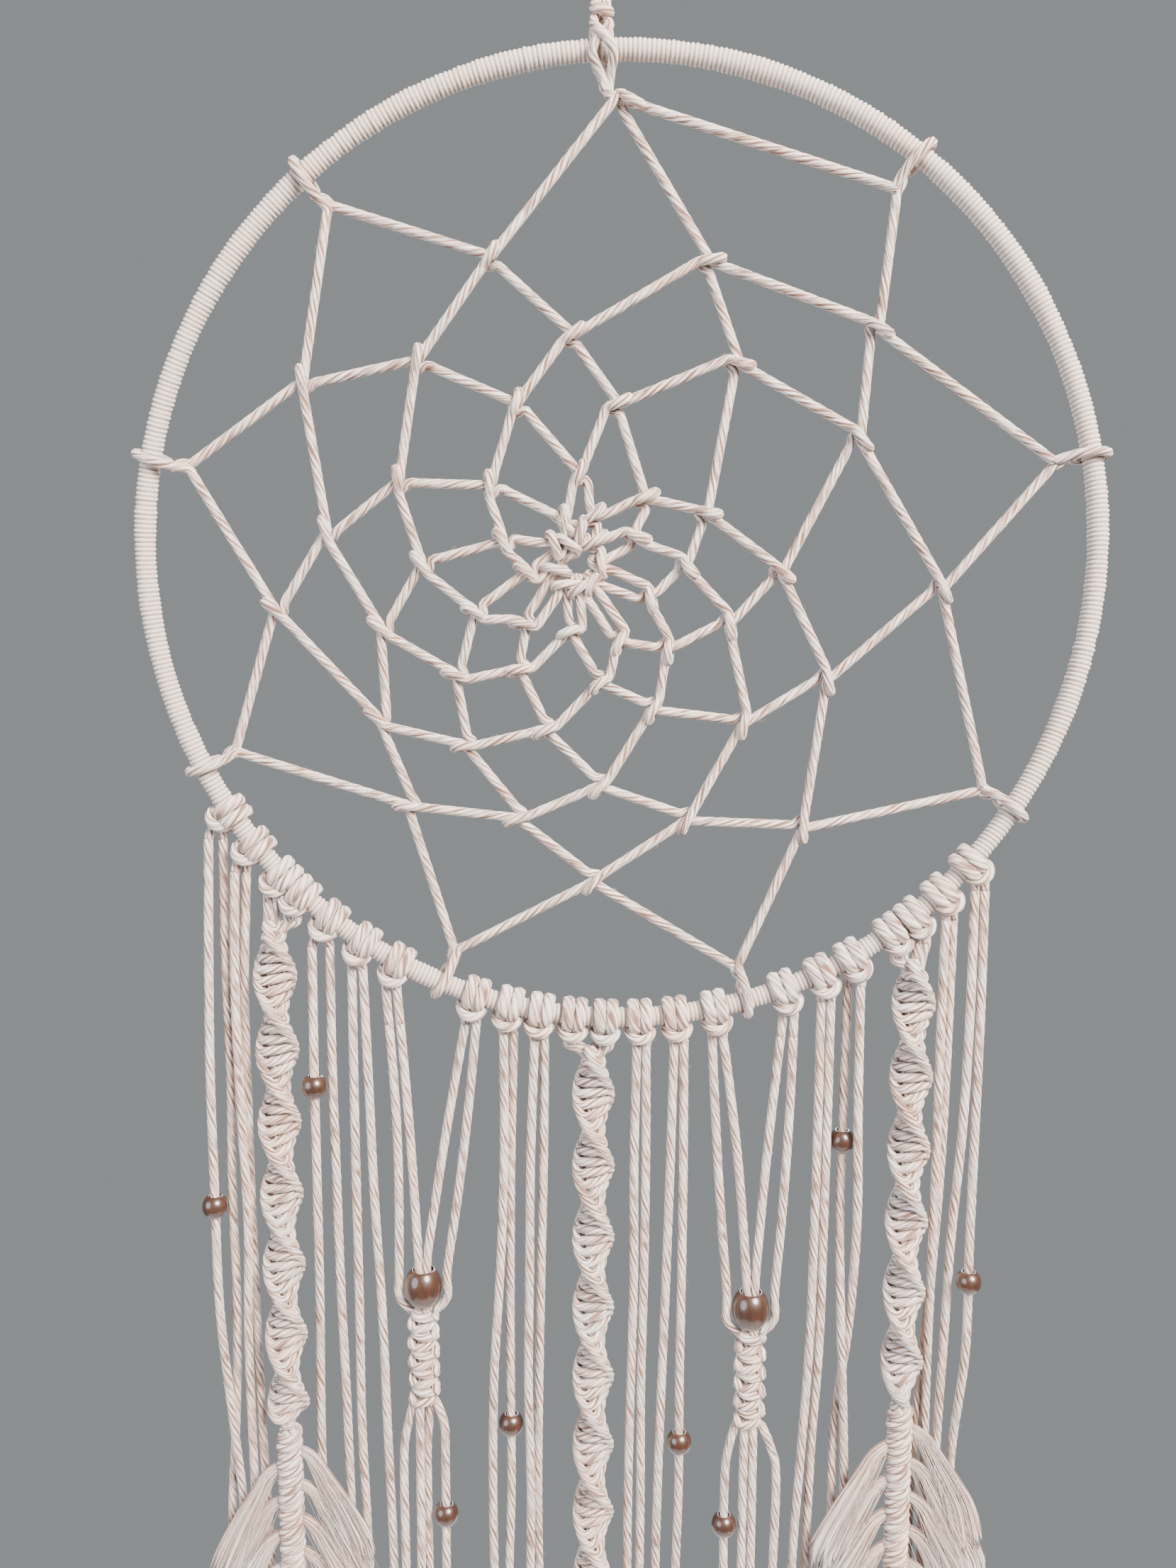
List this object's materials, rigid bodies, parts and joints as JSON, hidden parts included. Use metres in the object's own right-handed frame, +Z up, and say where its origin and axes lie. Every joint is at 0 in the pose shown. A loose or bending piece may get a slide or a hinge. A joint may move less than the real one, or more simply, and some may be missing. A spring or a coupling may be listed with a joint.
{
  "type": "dream catcher",
  "caption": "Wall-hung dream catcher: a string-wrapped hoop with a woven web, knotted fringe cords with wooden beads, spiral sinnets and brushed cotton feathers.",
  "frame": {"origin": "where a nail bears, at the top inside of the hanging loop", "axes": "+Z up, the web and the feathers face -Y, the wall is on the +Y side"},
  "size_m": [0.305, 0.0168, 0.7839],
  "materials": {
    "cotton_cord": "matt twisted cotton with loose fibres",
    "brushed_cotton": "matt combed-out cotton strands",
    "hoop_string": "matt thin string, tightly wound",
    "ring_steel": "plain drawn wire",
    "bead_wood": "stained and lacquered"
  },
  "bodies": {
    "loop": {"hanging_loop": "cotton_cord"},
    "hanger": {"gathering_wrap": "cotton_cord"},
    "hoop": {"hanger_knot": "cotton_cord", "hoop_ring": "ring_steel", "hoop_wrap": "hoop_string", "web": "cotton_cord", "fringe_knot_a": "cotton_cord", "fringe_knot_b": "cotton_cord", "fringe_knot_c": "cotton_cord", "fringe_knot_d": "cotton_cord", "fringe_knot_e": "cotton_cord", "fringe_knot_f": "cotton_cord", "fringe_knot_g": "cotton_cord", "fringe_knot_h": "cotton_cord", "fringe_knot_i": "cotton_cord", "fringe_knot_j": "cotton_cord", "fringe_knot_k": "cotton_cord", "fringe_knot_l": "cotton_cord", "spiral_knots_left": "cotton_cord", "spiral_knots_middle": "cotton_cord", "spiral_knots_right": "cotton_cord", "pendant_knots_left": "cotton_cord", "pendant_knots_right": "cotton_cord"},
    "spiral_left": {"spiral_left": "cotton_cord"},
    "spiral_middle": {"spiral_middle": "cotton_cord"},
    "spiral_right": {"spiral_right": "cotton_cord"},
    "feather_left": {"feather_spine_left": "cotton_cord", "feather_fringe_left": "brushed_cotton"},
    "feather_middle": {"feather_spine_middle": "cotton_cord", "feather_fringe_middle": "brushed_cotton"},
    "feather_right": {"feather_spine_right": "cotton_cord", "feather_fringe_right": "brushed_cotton"},
    "pendant_left": {"pendant_cords_left": "cotton_cord", "large_bead_left": "bead_wood", "square_sinnet_left": "cotton_cord", "pendant_tails_left": "cotton_cord"},
    "pendant_right": {"pendant_cords_right": "cotton_cord", "large_bead_right": "bead_wood", "square_sinnet_right": "cotton_cord", "pendant_tails_right": "cotton_cord"},
    "fringe_a": {"fringe_cord_a": "cotton_cord"},
    "fringe_b": {"fringe_cord_b": "cotton_cord"},
    "fringe_c": {"fringe_cord_c": "cotton_cord"},
    "fringe_d": {"fringe_cord_d": "cotton_cord"},
    "fringe_e": {"fringe_cord_e": "cotton_cord"},
    "fringe_f": {"fringe_cord_f": "cotton_cord"},
    "fringe_g": {"fringe_cord_g": "cotton_cord"},
    "fringe_h": {"fringe_cord_h": "cotton_cord"},
    "fringe_i": {"fringe_cord_i": "cotton_cord"},
    "fringe_j": {"fringe_cord_j": "cotton_cord"},
    "fringe_k": {"fringe_cord_k": "cotton_cord"},
    "fringe_l": {"fringe_cord_l": "cotton_cord"},
    "small_bead_a": {"small_bead_a": "bead_wood"},
    "small_bead_c": {"small_bead_c": "bead_wood"},
    "small_bead_e": {"small_bead_e": "bead_wood"},
    "small_bead_h": {"small_bead_h": "bead_wood"},
    "small_bead_j": {"small_bead_j": "bead_wood"},
    "small_bead_l": {"small_bead_l": "bead_wood"},
    "small_bead_left": {"small_bead_left": "bead_wood"},
    "small_bead_right": {"small_bead_right": "bead_wood"}
  },
  "joints": [
    {"name": "hanger_sway", "type": "hinge", "parent": "loop", "child": "hanger", "pos_m": [0, 0, -0.072], "axis": [0, 1, 0], "range_deg": [-12, 12]},
    {"name": "hoop_twist", "type": "hinge", "parent": "hanger", "child": "hoop", "pos_m": [0, 0, -0.092], "axis": [0, 0, 1], "range_deg": [-30, 30]},
    {"name": "spiral_left_swing", "type": "hinge", "parent": "hoop", "child": "spiral_left", "pos_m": [-0.10626, 0, -0.37189], "axis": [-1, 0, 0], "range_deg": [0, 25]},
    {"name": "spiral_middle_swing", "type": "hinge", "parent": "hoop", "child": "spiral_middle", "pos_m": [-0.00222, 0, -0.41368], "axis": [-1, 0, 0], "range_deg": [0, 25]},
    {"name": "spiral_right_swing", "type": "hinge", "parent": "hoop", "child": "spiral_right", "pos_m": [0.10267, 0, -0.38472], "axis": [-1, 0, 0], "range_deg": [0, 25]},
    {"name": "feather_left_swing", "type": "hinge", "parent": "spiral_left", "child": "feather_left", "pos_m": [-0.10626, 0, -0.548], "axis": [-1, 0, 0], "range_deg": [0, 20]},
    {"name": "feather_middle_swing", "type": "hinge", "parent": "spiral_middle", "child": "feather_middle", "pos_m": [-0.00222, 0, -0.621], "axis": [-1, 0, 0], "range_deg": [0, 20]},
    {"name": "feather_right_swing", "type": "hinge", "parent": "spiral_right", "child": "feather_right", "pos_m": [0.10267, 0, -0.54], "axis": [-1, 0, 0], "range_deg": [0, 20]},
    {"name": "pendant_left_swing", "type": "hinge", "parent": "hoop", "child": "pendant_left", "pos_m": [-0.05955, 0, -0.40619], "axis": [-1, 0, 0], "range_deg": [0, 25]},
    {"name": "pendant_right_swing", "type": "hinge", "parent": "hoop", "child": "pendant_right", "pos_m": [0.05093, 0, -0.41064], "axis": [-1, 0, 0], "range_deg": [0, 25]},
    {"name": "fringe_a_swing", "type": "hinge", "parent": "hoop", "child": "fringe_a", "pos_m": [-0.12295, 0, -0.34462], "axis": [-1, 0, 0], "range_deg": [0, 25]},
    {"name": "fringe_b_swing", "type": "hinge", "parent": "hoop", "child": "fringe_b", "pos_m": [-0.11513, 0, -0.35548], "axis": [-1, 0, 0], "range_deg": [0, 25]},
    {"name": "fringe_c_swing", "type": "hinge", "parent": "hoop", "child": "fringe_c", "pos_m": [-0.09064, 0, -0.38017], "axis": [-1, 0, 0], "range_deg": [0, 25]},
    {"name": "fringe_d_swing", "type": "hinge", "parent": "hoop", "child": "fringe_d", "pos_m": [-0.07981, 0, -0.38809], "axis": [-1, 0, 0], "range_deg": [0, 25]},
    {"name": "fringe_e_swing", "type": "hinge", "parent": "hoop", "child": "fringe_e", "pos_m": [-0.03084, 0, -0.40948], "axis": [-1, 0, 0], "range_deg": [0, 25]},
    {"name": "fringe_f_swing", "type": "hinge", "parent": "hoop", "child": "fringe_f", "pos_m": [-0.0203, 0, -0.41162], "axis": [-1, 0, 0], "range_deg": [0, 25]},
    {"name": "fringe_g_swing", "type": "hinge", "parent": "hoop", "child": "fringe_g", "pos_m": [0.01323, 0, -0.41362], "axis": [-1, 0, 0], "range_deg": [0, 25]},
    {"name": "fringe_h_swing", "type": "hinge", "parent": "hoop", "child": "fringe_h", "pos_m": [0.02531, 0, -0.41274], "axis": [-1, 0, 0], "range_deg": [0, 25]},
    {"name": "fringe_i_swing", "type": "hinge", "parent": "hoop", "child": "fringe_i", "pos_m": [0.07416, 0, -0.3987], "axis": [-1, 0, 0], "range_deg": [0, 25]},
    {"name": "fringe_j_swing", "type": "hinge", "parent": "hoop", "child": "fringe_j", "pos_m": [0.08437, 0, -0.39332], "axis": [-1, 0, 0], "range_deg": [0, 25]},
    {"name": "fringe_k_swing", "type": "hinge", "parent": "hoop", "child": "fringe_k", "pos_m": [0.11372, 0, -0.37134], "axis": [-1, 0, 0], "range_deg": [0, 25]},
    {"name": "fringe_l_swing", "type": "hinge", "parent": "hoop", "child": "fringe_l", "pos_m": [0.12299, 0, -0.36166], "axis": [-1, 0, 0], "range_deg": [0, 25]},
    {"name": "small_bead_a_slide", "type": "slide", "parent": "fringe_a", "child": "small_bead_a", "axis": [0, 0, 1], "range_m": [-0.012, 0.012]},
    {"name": "small_bead_c_slide", "type": "slide", "parent": "fringe_c", "child": "small_bead_c", "axis": [0, 0, 1], "range_m": [-0.012, 0.012]},
    {"name": "small_bead_e_slide", "type": "slide", "parent": "fringe_e", "child": "small_bead_e", "axis": [0, 0, 1], "range_m": [-0.012, 0.012]},
    {"name": "small_bead_h_slide", "type": "slide", "parent": "fringe_h", "child": "small_bead_h", "axis": [0, 0, 1], "range_m": [-0.012, 0.012]},
    {"name": "small_bead_j_slide", "type": "slide", "parent": "fringe_j", "child": "small_bead_j", "axis": [0, 0, 1], "range_m": [-0.012, 0.012]},
    {"name": "small_bead_l_slide", "type": "slide", "parent": "fringe_l", "child": "small_bead_l", "axis": [0, 0, 1], "range_m": [-0.012, 0.012]},
    {"name": "small_bead_left_slide", "type": "slide", "parent": "pendant_left", "child": "small_bead_left", "axis": [0, 0, 1], "range_m": [-0.012, 0.012]},
    {"name": "small_bead_right_slide", "type": "slide", "parent": "pendant_right", "child": "small_bead_right", "axis": [0, 0, 1], "range_m": [-0.012, 0.012]}
  ],
  "couplings": [
    {"joint": "fringe_a_swing", "follows": "spiral_left_swing", "ratio": 0.88},
    {"joint": "fringe_b_swing", "follows": "spiral_left_swing", "ratio": 0.92},
    {"joint": "fringe_c_swing", "follows": "spiral_left_swing", "ratio": 1},
    {"joint": "fringe_d_swing", "follows": "spiral_left_swing", "ratio": 1},
    {"joint": "fringe_e_swing", "follows": "spiral_middle_swing", "ratio": 0.98},
    {"joint": "fringe_f_swing", "follows": "spiral_middle_swing", "ratio": 0.98},
    {"joint": "fringe_g_swing", "follows": "spiral_middle_swing", "ratio": 0.98},
    {"joint": "fringe_h_swing", "follows": "spiral_middle_swing", "ratio": 0.98},
    {"joint": "fringe_i_swing", "follows": "spiral_right_swing", "ratio": 1},
    {"joint": "fringe_j_swing", "follows": "spiral_right_swing", "ratio": 1},
    {"joint": "fringe_k_swing", "follows": "spiral_right_swing", "ratio": 0.93},
    {"joint": "fringe_l_swing", "follows": "spiral_right_swing", "ratio": 0.88}
  ]
}
